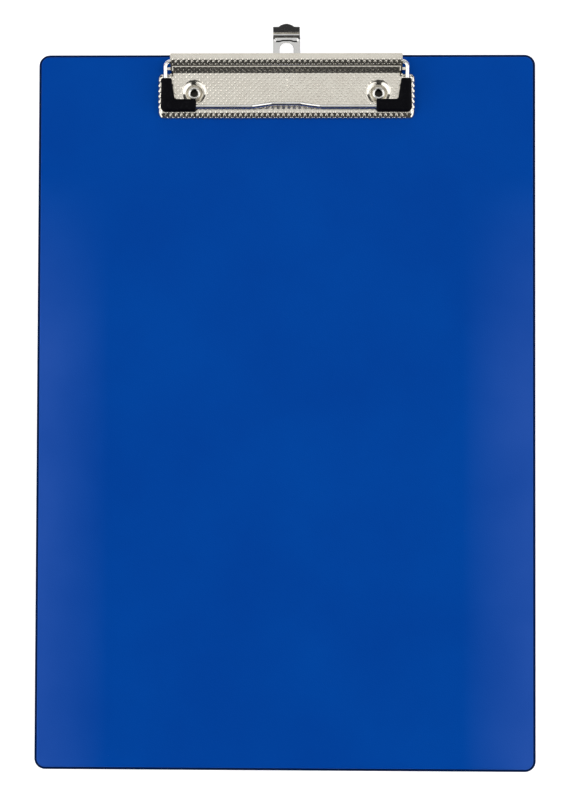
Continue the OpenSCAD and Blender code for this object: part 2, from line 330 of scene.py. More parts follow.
@dataclass
class Shell:
    """The surfaces of one piece, gathered until it is made."""

    points: list[np.ndarray] = field(default_factory=list)
    faces: list[np.ndarray] = field(default_factory=list)
    count: int = 0

    def add(self, points: np.ndarray, faces: np.ndarray) -> None:
        """Adds points, and faces that count from the first of them."""
        self.points.append(points.reshape(-1, 3))
        self.faces.append(faces + self.count)
        self.count += self.points[-1].shape[0]

    def grid(self, points: np.ndarray) -> None:
        """Adds a surface of rows by columns."""
        rows, columns = points.shape[:2]
        index = np.arange(rows * columns).reshape(rows, columns)
        corners = [index[:-1, :-1], index[:-1, 1:], index[1:, 1:], index[1:, :-1]]
        self.add(points, np.stack(corners, -1).reshape(-1, 4))

    def stitch(self, fine: np.ndarray, coarse: np.ndarray) -> None:
        """Adds a wall from a fine line to a coarse one, one face to each coarse step."""
        count = len(coarse) - 1
        steps = np.arange(count)[:, None] * COARSE + np.arange(COARSE + 1)
        self.add(np.concatenate([fine[steps], coarse[1:, None], coarse[:-1, None]], 1),
                 np.arange(count * (COARSE + 3)).reshape(count, COARSE + 3))

    def plate(self, loops: Sequence[np.ndarray], x0: float, x1: float) -> None:
        """Adds an upright plate: outlines in Y and Z, the first outer and the rest holes.

        Args:
            loops: outlines without their first point repeated.
            x0: one face.
            x1: the other face.
        """
        flat = np.concatenate(loops)
        corners = np.array(tessellate_polygon([[(0.0, *p) for p in loop.tolist()] for loop in loops]))
        for x in (x0, x1):
            self.add(np.concatenate([np.full((len(flat), 1), x), flat], 1), corners)
        for loop in loops:
            ring = np.concatenate([loop, loop[:1]])
            self.grid(np.stack([np.concatenate([np.full((len(ring), 1), x), ring], 1)
                                for x in (x0, x1)]))

    def sheet(self, surface: Surface, us: np.ndarray, vs: np.ndarray, thick: float,
              edge: float) -> None:
        """Adds a closed thin sheet with eased edges.

        The outer face is surface(u, v, 0) and the inner one surface(u, v, -thick), both drawn in
        by edge at their borders. The rim between them runs at the full size.

        Args:
            surface: gives points from two lengths and a lift.
            us: lines of the first length.
            vs: lines of the second length.
            thick: thickness of the sheet.
            edge: size of the eased edge.
        """
        full = border(us, vs, 0)[0]
        small_u, small_v = (np.clip(w, w[0] + edge, w[-1] - edge) for w in (us, vs))
        small = border(small_u, small_v, 0)[0]
        u, v = np.meshgrid(small_u, small_v, indexing="ij")
        self.grid(surface(u, v, 0.0))
        self.grid(surface(u, v, -thick))
        self.grid(np.stack([surface(*small.T, 0.0), surface(*full.T, -edge),
                            surface(*full.T, edge - thick), surface(*small.T, -thick)]))

    def make(self, name: str, place: Place, sharp: float) -> bpy.types.Object:
        """Makes the piece: merges its borders, faces it outwards and shades it smooth.

        Args:
            name: the piece's name.
            place: where the clip's frame lies.
            sharp: angle in degrees above which an edge stays crisp.

        Returns:
            The object, at the part's origin.
        """
        mesh = bpy.data.meshes.new(name)
        points = place.to_part(np.concatenate(self.points))
        mesh.from_pydata(points.tolist(), [], [f for block in self.faces for f in block.tolist()])
        work = bmesh.new()
        work.from_mesh(mesh)
        bmesh.ops.remove_doubles(work, verts=work.verts, dist=MERGE)
        bmesh.ops.recalc_face_normals(work, faces=work.faces)
        work.to_mesh(mesh)
        work.free()
        mesh.shade_smooth()
        mesh.set_sharp_from_angle(angle=math.radians(sharp))
        piece = bpy.data.objects.new(name, mesh)
        bpy.context.scene.collection.objects.link(piece)
        return piece


def dress(piece: bpy.types.Object, material: bpy.types.Material) -> None:
    """Gives a piece its only material."""
    piece.data.materials.clear()
    piece.data.materials.append(material)


def mark(piece: bpy.types.Object, name: str, share: Callable[[np.ndarray], np.ndarray]) -> None:
    """Stores a value from 0 to 1 at each point, worked out from the points in metres."""
    points = np.empty(len(piece.data.vertices) * 3, np.float32)
    piece.data.vertices.foreach_get("co", points)
    value = share(points.reshape(-1, 3)).astype(np.float32)
    piece.data.attributes.new(name, "FLOAT", "POINT").data.foreach_set("value", value)


# Finishes


class Recipe:
    """Wires one procedural material from noises in Object coordinates."""

    def __init__(self, name: str) -> None:
        """Starts a material with a shader and an output."""
        self.material = bpy.data.materials.new(name)
        self.material.use_nodes = True
        self.tree = self.material.node_tree
        self.tree.nodes.clear()
        self.shader = self.add("ShaderNodeBsdfPrincipled")
        self.output = self.add("ShaderNodeOutputMaterial",
                               {"Surface": self.shader.outputs["BSDF"]})
        self.place = self.add("ShaderNodeTexCoord").outputs["Object"]

    def add(self, kind: str, inputs: dict[str | int, object] | None = None,
            **settings: object) -> bpy.types.Node:
        """Adds a node.

        Args:
            kind: its type.
            inputs: values or sockets for its inputs, by name or number.
            **settings: its own settings.

        Returns:
            The node.
        """
        node = self.tree.nodes.new(kind)
        for name, value in settings.items():
            setattr(node, name, value)
        for name, value in (inputs or {}).items():
            self.feed(node.inputs[name], value)
        return node

    def feed(self, socket: bpy.types.NodeSocket, value: object) -> None:
        """Links a socket to another one, or sets its value."""
        if isinstance(value, bpy.types.NodeSocket):
            self.tree.links.new(value, socket)
        else:
            socket.default_value = value

    def set(self, **values: object) -> None:
        """Sets the shader's inputs, whose names have spaces where these have underscores."""
        for name, value in values.items():
            self.feed(self.shader.inputs[name.replace("_", " ")], value)

    def stretched(self, size: float, stretch: Sequence[float]) -> bpy.types.NodeSocket:
        """Object coordinates in units of size millimetres, times stretch along each axis."""
        scale = [s / (size * MM) for s in stretch]
        return self.add("ShaderNodeMapping", {"Vector": self.place, "Scale": scale}).outputs[0]

    def noise(self, size: float, detail: float = 2.0,
              stretch: Sequence[float] = (1, 1, 1)) -> bpy.types.NodeSocket:
        """Cloudy values about 0.5, with patches of size millimetres."""
        return self.add("ShaderNodeTexNoise", {"Vector": self.stretched(size, stretch),
                                               "Scale": 1.0, "Detail": detail}).outputs["Fac"]

    def cells(self, size: float) -> bpy.types.NodeSocket:
        """Distance from the middle of cells of size millimetres."""
        return self.add("ShaderNodeTexVoronoi", {"Vector": self.stretched(size, (1, 1, 1)),
                                                 "Scale": 1.0}).outputs["Distance"]

    def levels(self, value: bpy.types.NodeSocket, low: float, high: float, to_low: float,
               to_high: float) -> bpy.types.NodeSocket:
        """Maps low..high to to_low..to_high, and holds it there."""
        return self.add("ShaderNodeMapRange", {0: value, 1: low, 2: high, 3: to_low,
                                               4: to_high}).outputs[0]

    def math(self, operation: str, a: object, b: object) -> bpy.types.NodeSocket:
        """One sum or product of two values."""
        return self.add("ShaderNodeMath", {0: a, 1: b}, operation=operation).outputs[0]

    def blend(self, share: bpy.types.NodeSocket, first: object, second: object) -> bpy.types.NodeSocket:
        """A colour between two, by a share from 0 to 1."""
        ends = [(*c, 1.0) if isinstance(c, tuple) else c for c in (first, second)]
        return self.add("ShaderNodeMix", {0: share, 6: ends[0], 7: ends[1]},
                        data_type="RGBA").outputs[2]

    def relief(self, height: bpy.types.NodeSocket, depth: float,
               under: bpy.types.NodeSocket | None = None) -> bpy.types.NodeSocket:
        """Bump of depth millimetres, over another bump if there is one."""
        inputs = {"Height": height, "Distance": depth * MM}
        if under is not None:
            inputs["Normal"] = under
        return self.add("ShaderNodeBump", inputs).outputs["Normal"]


@dataclass(frozen=True)
class CoverFilm:
    """Vinyl cover film: leather grain, pale specks, a painted sheen towards both sides, and painted
    shade along the welded edge and in the gap under the clip.
    """

    colour: Colour = (0.0, 0.058, 0.368)
    light: Colour = (0.0, 0.066, 0.395)
    # Paler tone painted towards both sides, standing in for the side lights' sheen on the film.
    painted_sheen: Colour = (0.024, 0.098, 0.46)
    # Middle and half-width, in metres along Y, of the band of painted shade under the clip.
    gap: tuple[float, float] = (0.1598, 0.003)
    # Painted shade along the welded edge, where the rounded edge turns away from the light.
    weld_shade: Colour = (0.0, 0.012, 0.07)
    # Painted shade in the gap under the clip.
    painted_shade: Colour = (0.002, 0.002, 0.003)
    speck: Colour = (0.10, 0.19, 0.50)
    grain: float = 0.55
    grain_depth: float = 0.03

    def make(self) -> bpy.types.Material:
        """Wires the material."""
        r = Recipe("blue_cover_film")
        clouds = r.levels(r.noise(60, 3), 0.35, 0.65, 0, 1)
        tone = r.blend(clouds, self.colour, self.light)
        specks = r.math("MULTIPLY", r.levels(r.cells(5.5), 0.0, 0.035, 0.7, 0),
                        r.levels(r.noise(30), 0.45, 0.6, 0, 1))
        tone = r.blend(specks, tone, self.speck)
        spot = r.add("ShaderNodeSeparateXYZ", {"Vector": r.place}).outputs
        across = r.math("ABSOLUTE", spot["X"], 0.0)
        # Painted sheen: paler near both sides, fading out towards the rear, where the side lights
        # glance off the film.
        sheen_share = r.math("MULTIPLY", r.levels(across, 0.082, 0.112, 0, 1),
                        r.levels(spot["Y"], 0.03, 0.11, 1, 0))
        tone = r.blend(r.math("MULTIPLY", sheen_share, r.levels(r.noise(60, 3), 0.3, 0.7, 0.45, 0.95)),
                       tone, self.painted_sheen)
        # Painted shade: nearly black in a narrow band of the writing face under the clip, standing in
        # for the shade in its gap.
        middle, reach = self.gap
        beside = r.math("ABSOLUTE", r.math("SUBTRACT", spot["Y"], middle), 0.0)
        shade_painted = r.math("MULTIPLY", r.levels(beside, reach, reach + 0.0006, 1, 0),
                        r.levels(across, 0.0535, 0.0545, 1, 0))
        shade_painted = r.math("MULTIPLY", shade_painted, r.levels(spot["Z"], 0.0018, 0.0022, 0, 1))
        tone = r.blend(shade_painted, tone, self.painted_shade)
        # Painted shade: darker along the welded edge, where the rounded edge turns away from the light.
        edge = r.add("ShaderNodeAttribute", attribute_name="weld_shade").outputs["Fac"]
        tone = r.blend(edge, tone, self.weld_shade)
        rough = r.math("ADD", r.levels(r.noise(1.2), 0.3, 0.7, 0.40, 0.50),
                       r.levels(r.noise(25, 3), 0.35, 0.65, -0.03, 0.04))
        skin = r.relief(r.cells(self.grain), self.grain_depth)
        skin = r.relief(r.noise(0.25, 3), 0.012, skin)
        skin = r.relief(r.noise(9, 2), 0.05, skin)
        r.set(Base_Color=tone, Roughness=rough, Normal=skin)
        r.shader.inputs["Specular IOR Level"].default_value = 0.02
        return r.material


@dataclass(frozen=True)
class GreyBoard:
    """Pulp board: pale fibres on warm grey."""

    colour: Colour = (0.30, 0.28, 0.25)
    fibre: Colour = (0.44, 0.42, 0.38)

    def make(self) -> bpy.types.Material:
        """Wires the material."""
        r = Recipe("grey_board")
        fibres = r.levels(r.noise(0.8, 4, (1, 0.25, 1)), 0.4, 0.65, 0, 1)
        r.set(Base_Color=r.blend(fibres, self.colour, self.fibre),
              Roughness=r.levels(fibres, 0, 1, 0.8, 0.95), Normal=r.relief(fibres, 0.04))
        return r.material


@dataclass(frozen=True)
class Plating:
    """Bright plating on steel: patches of warmer tone, uneven gloss, hairlines and a rippled skin."""

    name: str
    colour: Colour
    dull: Colour
    gloss: tuple[float, float]
    hairline: tuple[float, float, float]
    ripple: float
    ripple_depth: float
    shade_painted: bool = False
    painted_shade: Colour = (0.03, 0.028, 0.025)

    def make(self) -> bpy.types.Material:
        """Wires the material."""
        r = Recipe(self.name)
        patches = r.levels(r.noise(7, 3), 0.35, 0.68, 0, 1)
        lines = r.noise(0.5, 3, self.hairline)
        wear = r.levels(r.noise(1.6, 4), 0.5, 0.75, 0, 1)
        rough = r.math("ADD", r.levels(patches, 0, 1, *self.gloss),
                       r.math("MULTIPLY", wear, 0.08))
        skin = r.relief(r.noise(self.ripple, 2), self.ripple_depth)
        skin = r.relief(lines, 0.0015, skin)
        tone = r.blend(patches, self.colour, self.dull)
        # Painted shade: darker down a rivet's bore, with a rougher finish there.
        if self.shade_painted:
            share = r.add("ShaderNodeAttribute", attribute_name="painted_shade").outputs["Fac"]
            tone = r.blend(share, tone, self.painted_shade)
            rough = r.math("ADD", rough, r.math("MULTIPLY", share, 0.2))
        r.set(Base_Color=tone, Roughness=rough, Normal=skin)
        r.shader.inputs["Metallic"].default_value = 1.0
        return r.material


@dataclass(frozen=True)
class SleeveVinyl:
    """Dipped black vinyl: satin, a little uneven, with dust-grey scuffs."""

    colour: Colour = (0.0025, 0.0025, 0.004)
    scuff: Colour = (0.010, 0.010, 0.013)

    def make(self) -> bpy.types.Material:
        """Wires the material."""
        r = Recipe("black_vinyl")
        scuffs = r.levels(r.noise(1.1, 5), 0.58, 0.75, 0, 1)
        skin = r.relief(r.noise(1.6, 2), 0.05)
        skin = r.relief(r.noise(0.2, 2), 0.006, skin)
        r.set(Base_Color=r.blend(scuffs, self.colour, self.scuff),
              Roughness=r.levels(r.noise(0.9, 3), 0.3, 0.7, 0.26, 0.42), Normal=skin)
        r.shader.inputs["Specular IOR Level"].default_value = 0.04
        return r.material


class Metal(Enum):
    """The clip's plated metals."""

    EMBOSSED = Plating("embossed_nickel", (0.745, 0.71, 0.63), (0.705, 0.665, 0.585), (0.16, 0.21),
                       (0.2, 3.0, 1.0), 1.4, 0.008)
    WIRE = Plating("spring_wire", (0.86, 0.86, 0.85), (0.76, 0.75, 0.72), (0.07, 0.13),
                   (1.0, 1.0, 1.0), 1.5, 0.008)
    # The rivet's plating takes painted shade down its bore.
    RIVET = Plating("rivet_nickel", (0.80, 0.79, 0.76), (0.66, 0.64, 0.60), (0.12, 0.22),
                    (2.0, 2.0, 0.3), 0.7, 0.01, True)
    HOOK = Plating("hook_steel", (0.70, 0.70, 0.69), (0.62, 0.615, 0.60), (0.06, 0.12),
                   (3.0, 0.15, 1.0), 3.0, 0.006)


@dataclass
class Finishes:
    """All materials, made once."""

    film: bpy.types.Material = field(default_factory=lambda: CoverFilm().make())
    board: bpy.types.Material = field(default_factory=lambda: GreyBoard().make())
    vinyl: bpy.types.Material = field(default_factory=lambda: SleeveVinyl().make())
    metals: dict[Metal, bpy.types.Material] = field(
        default_factory=lambda: {metal: metal.value.make() for metal in Metal})


# The board


@dataclass
class Board:
    """Two welded cover films round a stiff core. Heights here count from the back."""

    place: Place
    rivets: tuple[float, float]
    corner: float = 5.0
    thick: float = 2.6
    film: float = 0.3
    square: float = 6.0
    hole: float = 2.05
    seat: float = 4.08
    seat_depth: float = 0.75
    turns: int = 14

    def lines(self) -> tuple[list[np.ndarray], list[np.ndarray]]:
        """Grid lines of the face inside the round corners, with a block round each rivet."""
        x, y = self.rivets
        wide, near, far = (self.place.half_width - self.corner,
                           self.corner - 2 * self.place.half_length, -self.corner)
        s = self.square
        return (runs([-wide, -x - s, s - x, x - s, x + s, wide], [16, 16, 18, 16, 16]),
                runs([near, y - s, y + s, far], [60, 16, 4]))

    def rim(self, profile: np.ndarray) -> np.ndarray:
        """A profile of inset from the outline and height, carried round the board."""
        xs, ys = (joined(lines) for lines in self.lines())
        base, way = border(xs, ys, self.turns)
        out = self.corner - profile[:, 0]
        return raised(base + way * out[:, None, None], profile[:, 1:])

    def face(self, shell: Shell, low: float,
             press: Callable[[np.ndarray], np.ndarray]) -> list[np.ndarray]:
        """Adds a flat face and its pressed seats.

        Args:
            shell: takes the surfaces.
            low: height of the face.
            press: height added at a distance from a rivet.

        Returns:
            The ring round each rivet's hole.
        """
        xs, ys = self.lines()
        radii = np.concatenate([[self.hole], np.linspace(3.6, 4.6, 15)])
        plain, ringed = pierced(xs, ys, [(1, 1), (3, 1)], radii, 4)
        for block in plain:
            shell.grid(self.lowered(raised(block, low)))
        rings = []
        for block in ringed:
            middle = (block[0].min(0) + block[0].max(0)) / 2
            lift = press(np.linalg.norm(block - middle, axis=-1))
            rings.append(self.lowered(raised(block, low + lift)))
            shell.grid(rings[-1])
        return [ring[0] for ring in rings]

    def lowered(self, points: np.ndarray) -> np.ndarray:
        """Heights over the back turned into heights over the writing face."""
        return points - (0, 0, self.thick)

    def cover(self, profile: np.ndarray, heights: tuple[float, float], pressed: float) -> Shell:
        """One film as a closed shell.

        Args:
            profile: rim from one face round the edge to the other, as inset and height.
            heights: heights of the first and the last face.
            pressed: depth of the seats round the rivets.

        Returns:
            The shell.
        """
        shell = Shell()
        shell.grid(self.lowered(self.rim(profile)))
        ends = [self.face(shell, z, lambda d: pressed * ease((self.seat + 0.2 - d) / 0.4))
                for z in heights]
        for pair in zip(*ends):
            shell.grid(np.stack(pair))
        return shell

    def weld_shade(self, points: np.ndarray) -> np.ndarray:
        """How far each point lies in the painted shade along the welded edge: 1 within 0.9 mm of the
        outline, 0 past 1.5 mm.

        The inset of a point is corner - distance from the rectangle inside the round corners.
        """
        inner = (self.place.half_width - self.corner, self.place.half_length - self.corner)
        past = np.clip(np.abs(points[:, :2] / MM) - inner, 0, None)
        return ease((1.5 - self.corner + np.linalg.norm(past, axis=1)) / 0.6)

    def build(self, finishes: Finishes) -> None:
        """Makes both covers and dresses the core."""
        t, f = self.thick, self.film
        front = np.concatenate([
            [[self.corner, t], [3.4, t], [2.4, t]], arc((2.0, t - 0.8), 0.8, 90, 180, 12),
            [[1.2, 1.3]], arc((0.85, 2 * f + 0.35), 0.35, 0, -90, 8),
            [[0.1, 2 * f], [0.02, 2 * f - 0.05], [0, 2 * f - 0.12], [0, f + 0.04], [0.05, f],
             [1.45, f], [1.45, t - f - 0.05], [1.5, t - f], [3.4, t - f], [self.corner, t - f]]])
        back = np.array([
            [self.corner, 0], [1.8, 0], [1.68, 0.02], [1.55, 0.07], [1.25, 0.07], [1.12, 0.02],
            [1.0, 0], [0.12, 0], [0.03, 0.04], [0, 0.12], [0, f - 0.04], [0.05, f],
            [self.corner, f]])
        films = (("front_cover", front, (t, t - f), 0.0, "front_foil"),
                 ("back_cover", back, (0.0, f), self.seat_depth, "back_foil"))
        for name, profile, heights, pressed, node in films:
            piece = self.cover(profile, heights, pressed).make(name, self.place, 50)
            # Share of painted shade along the welded edge.
            mark(piece, "weld_shade", self.weld_shade)
            dress(piece, finishes.film)
            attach(piece, "board")
            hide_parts(node)
            log.info("%s: %d faces", name, len(piece.data.polygons))
        dress(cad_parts["board_core"], finishes.board)


# The clip's fixed plate


@dataclass
class BasePlate:
    """Embossed base plate: rolled rims, an upturned rear wall, ears and dishes."""

    place: Place
    rivets: tuple[float, float]
    half: float = 60.0
    front: float = -30.5
    wall_foot: float = -9.1
    deck: float = 2.4
    sheet: float = 0.5
    ear: float = 53.0
    ear_half: float = 0.25
    wall_top: float = 4.4
    slope: float = 40.0
    bend: float = 0.9
    square: float = 6.9
    dish: float = 4.3
    dish_wall: float = 1.4
    dish_shift: float = 0.35
    punches: tuple[float, float, float] = (0.6, -12.5, -15.2)
    pitch: float = 2.5
    stud: float = 0.8
    stud_height: float = 0.2
    deck_share: float = 0.5
    wall_share: float = 0.5
    front_roll: float = 3.5
    pivot: tuple[float, float] = (-4.1, 4.1)
    rings: int = 24
    wall: Section = field(init=False)

    def __post_init__(self) -> None:
        """Draws the rear wall: flat, a bend, the slope, and a narrow flat hem at its cut edge."""
        run = (self.wall_top - self.deck) / math.tan(math.radians(self.slope))
        self.wall = Section(rounded_path(np.array([
            [self.rear, self.deck], [self.wall_foot, self.deck],
            [self.wall_foot + run - 0.05, self.wall_top - 0.04],
            [self.wall_foot + run + 0.46, self.wall_top - 0.04]]), [self.bend, 0.3], 12, 0.2))

    @property
    def rear(self) -> float:
        """Rear end of the flat deck's grid."""
        return self.wall_foot - self.deck

    def lines(self, step: int) -> tuple[list[np.ndarray], list[np.ndarray]]:
        """Grid lines of the deck between its rims, taking every step-th one."""
        x, y = self.rivets
        s, end, ear = self.square, self.half - self.deck, self.ear
        xs = runs([-end, -ear - 0.1, 0.1 - ear, -x - s, s - x, x - s, x + s, ear - 0.1, ear + 0.1,
                   end], [18, 3, 12, 60, 312, 60, 12, 3, 18])
        ys = runs([self.front + self.front_roll, y - s, y + s, self.rear], [9, 60, 3])
        return [line[::step] for line in xs], [line[::step] for line in ys]

    def studs(self, base: np.ndarray, arc_length: np.ndarray | float,
              way: np.ndarray | float) -> np.ndarray:
        """Height of the embossing at the developed place base + arc_length * way.

        It fades out at the four corners and beside the ears.
        """
        spot = base + way * np.asarray(arc_length)[..., None]
        middle = (self.front + self.front_roll + self.rear) / 2
        away = np.hypot(np.abs(base[..., 0]) - self.half + self.deck,
                        np.abs(base[..., 1] - middle) - (self.rear - middle))
        beside = np.abs(np.abs(base[..., 0]) - self.ear) + 4 * (base[..., 1] < self.rear - 1.5)
        on_wall = (base[..., 1] > self.rear - 0.01) & (np.abs(base[..., 0]) < self.ear)
        full = np.where(on_wall, self.wall_share, 1.0)
        share = self.deck_share + (full - self.deck_share) * ease(np.asarray(arc_length) / 1.2)
        return (self.stud_height * embossing(spot[..., 0], spot[..., 1], self.pitch, self.stud)
                * share * ease(away / 2.4) * ease(beside / 0.6))

    def deck_height(self, flat: np.ndarray, studded: float) -> np.ndarray:
        """Height of the deck: nearly conical dishes, two punch marks, and studs between them."""
        x, y = flat[..., 0], flat[..., 1]
        dish = np.hypot(np.abs(x) - self.rivets[0], y - self.rivets[1] - self.dish_shift)
        beside, first, second = self.punches
        punch = np.hypot(x - beside, np.minimum(np.abs(y - first), np.abs(y - second)))
        climb = np.clip((dish - self.dish + self.dish_wall) / (2 * self.dish_wall), 0, 1)
        drop = (self.deck - self.sheet) * (1 - 0.7 * climb - 0.3 * ease(climb))
        studs = self.studs(flat, 0.0, 0.0) * ease((dish - 5.6) / 0.6)
        return self.deck - drop - 0.12 * ease(1 - punch / 0.5) + studded * studs

    def rims(self, step: int, lift: float, studded: float) -> np.ndarray:
        """The rolled rims and the rear wall, carried round the deck.

        A rim is part of an ellipsoid, base + way * size * sin f at the height deck * cos f, and
        size is larger along the front. Its normal is (way * sin f / size, cos f / deck), made one
        long. Between the ears the wall's section takes its place.

        Args:
            step: takes every step-th grid line.
            lift: distance out of the sheet's outer face.
            studded: 1 with the embossing and 0 without.

        Returns:
            Points, rings by places round the deck.
        """
        xs, ys = (joined(lines) for lines in self.lines(step))
        base, way = border(xs, ys, 12 // step)
        s = np.linspace(0, 1, self.rings // step + 1)[:, None]
        middle = (base[:, 1] > self.rear - 0.01) & (np.abs(base[:, 0]) < self.ear)
        size = np.stack([0 * way[:, 0] + self.deck,
                         np.where(way[:, 1] < -0.001, self.front_roll, self.deck)], -1)
        across = np.linalg.norm(way * size, axis=1)
        rolled_length = np.hypot(across, self.deck) / math.sqrt(2) * math.pi / 2
        length = np.where(middle, self.wall.lengths[-1], rolled_length) * s
        out = lift + studded * self.studs(base + 0 * s[..., None], length, way) * ease((1 - s) / 0.1)
        f = s * math.pi / 2
        normal = raised(way / size * np.sin(f)[..., None], np.cos(f) / self.deck)
        normal /= np.linalg.norm(normal, axis=-1, keepdims=True)
        rolled = raised(base + way * size * np.sin(f)[..., None], self.deck * np.cos(f) + 0 * length)
        rolled = rolled + out[..., None] * normal
        y, z = self.wall.at(length, out)
        risen = np.stack([base[:, 0] + 0 * y, y, z], -1)
        return np.where(middle[None, :, None], risen, rolled)

    def skin(self, shell: Shell, step: int, lift: float,
             studded: float) -> tuple[np.ndarray, list[np.ndarray]]:
        """Adds one face of the sheet.

        Args:
            shell: takes the surfaces.
            step: takes every step-th grid line.
            lift: distance out of the sheet's outer face.
            studded: 1 with the embossing and 0 without.

        Returns:
            The line along the free edge, and the ring round each rivet's hole.
        """
        xs, ys = self.lines(step)
        radii = np.concatenate([[2.3], np.linspace(3.1, 6.75, 24 // step + 1)])
        plain, ringed = pierced(xs, ys, [(3, 1), (5, 1)], radii, 6 // step)
        blocks = [raised(block, self.deck_height(block, studded) + lift) for block in plain + ringed]
        for block in blocks:
            shell.grid(block)
        rims = self.rims(step, lift, studded)
        shell.grid(rims)
        return rims[-1], [block[0] for block in blocks[-2:]]

    def ear_outline(self) -> np.ndarray:
        """Outline of an ear in Y and Z: a disc on a neck, a foot, and a web up behind the wall."""
        y, z = self.pivot
        foot = 1.8
        return np.concatenate([
            [[y + 0.5, 0.02], [y + 0.5, z - 1.3]], arc((y, z), 1.42, -68, 248, 26),
            [[y - 0.5, foot], [y - 2.25, foot], [y - 2.25, self.wall_top],
             [self.wall_foot + 0.6, self.wall_top], [self.wall_foot - 1.6, self.deck],
             [self.wall_foot - 1.6, 0.02]]])

    def build(self, finishes: Finishes) -> None:
        """Makes the plate as one piece."""
        shell = Shell()
        edge, holes = self.skin(shell, 1, 0.0, 1.0)
        under_edge, under_holes = self.skin(shell, COARSE, -self.sheet, 0.0)
        shell.stitch(edge, under_edge)
        for hole, under in zip(holes, under_holes):
            shell.stitch(hole, under)
        ear = self.ear_outline()
        hole = arc(self.pivot, 1.0, 0, 360, 24)[:-1]
        guide = np.array([[-19.1, 0.05], [-10.1, 0.05], [-10.1, 1.9], [-19.1, 1.9]])
        for side in Side:
            inner, outer = (side.value * (self.ear + d) for d in (-self.ear_half, self.ear_half))
            shell.plate([ear, hole], inner, outer)
            shell.plate([guide], side.value * 6.5, side.value * 7.0)
        piece = shell.make("clip_base", self.place, 38)
        dress(piece, finishes.metals[Metal.EMBOSSED])
        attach(piece, "board")
        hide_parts("clip_base_plate")
        log.info("clip_base: %d faces", len(piece.data.polygons))


# The moving clip


@dataclass
class Lever:
    """Lever plate: a leaf along the rear, curled over the wire's legs, with lifting fingers."""

    place: Place
    pivot: tuple[float, float] = (-4.1, 4.1)
    half: float = 54.0
    curl: float = 1.95
    turn: float = 155.0
    leaf: float = 3.5
    crown_back: float = 1.9
    sheet: float = 0.45
    pitch: float = 2.5
    stud: float = 0.8
    stud_height: float = 0.17
    row_stretch: float = 1.16
    section: Section = field(init=False)

    def __post_init__(self) -> None:
        """Draws the section: a part circle round the pin, then an ellipse up into the flat leaf."""
        y, z = self.pivot
        back = self.crown_back
        f = np.radians(np.linspace(180, 90, 60))
        crown = np.stack([y + back + (self.curl + back) * np.cos(f), z + self.curl * np.sin(f)], -1)
        self.section = Section(np.concatenate([
            arc(self.pivot, self.curl, 90 + self.turn, 180, 30)[:-1], crown[:-1],
            np.linspace((y + back, z + self.curl), (y + self.leaf, z + self.curl), 8)]))

    def surface(self, x: np.ndarray, s: np.ndarray, lift: float) -> np.ndarray:
        """A point of the sheet at x across and s along its section, with studs on the outer face."""
        end = self.section.lengths[-1]
        share = (0.1 + 0.9 * ease((end - 2.0 - s) / 0.8)) * ease(s / 0.8) * ease((end - s) / 0.8)
        share = share * ease((self.half - np.abs(x)) / 0.8)
        rows = self.row_stretch * (s - end + 2.9)
        studs = self.stud_height * embossing(x, rows, self.pitch, self.stud)
        y, z = self.section.at(s, lift + (studs * share if lift == 0 else 0))
        return np.stack([x, y, z], -1)

    def cheek(self) -> list[np.ndarray]:
        """Outline of a cheek in Y and Z, closing the curl's end and reaching to a finger."""
        y, z = self.pivot
        low = z - 1.05
        return [np.concatenate([arc(self.pivot, self.curl, -90, 180, 36),
                                [[y - 3.9, low], [y - 3.9, low - self.sheet]]]),
                arc(self.pivot, 1.0, 0, 360, 24)[:-1]]

    def build(self, finishes: Finishes) -> None:
        """Makes the plate as one piece."""
        shell = Shell()
        length = self.section.lengths[-1]
        edge = 0.07
        across = runs([-self.half, edge - self.half, self.half - edge, self.half], [1, 462, 1])
        along = runs([0, edge, length - edge, length], [1, 38, 1])
        shell.sheet(self.surface, joined(across), joined(along), self.sheet, edge)
        y, z = self.pivot
        low = z - 1.05

        def finger(u: np.ndarray, v: np.ndarray, lift: float) -> np.ndarray:
            """A level tab: u across, v along, its top at the finger's height."""
            return np.stack([side.value * u, v, low + lift + 0 * u], -1)

        for side in Side:
            inner, outer = side.value * (self.half - 0.5), side.value * self.half
            shell.plate(self.cheek(), inner, outer)
            shell.sheet(finger, np.linspace(self.half - 0.45, self.half + 3.2, 8),
                        np.linspace(y - 3.9, y - 2.6, 5), self.sheet, 0.08)
        piece = shell.make("lever_leaf", self.place, 38)
        dress(piece, finishes.metals[Metal.EMBOSSED])
        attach(piece, "lever")
        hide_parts("lever_plate")
        log.info("lever_leaf: %d faces", len(piece.data.polygons))


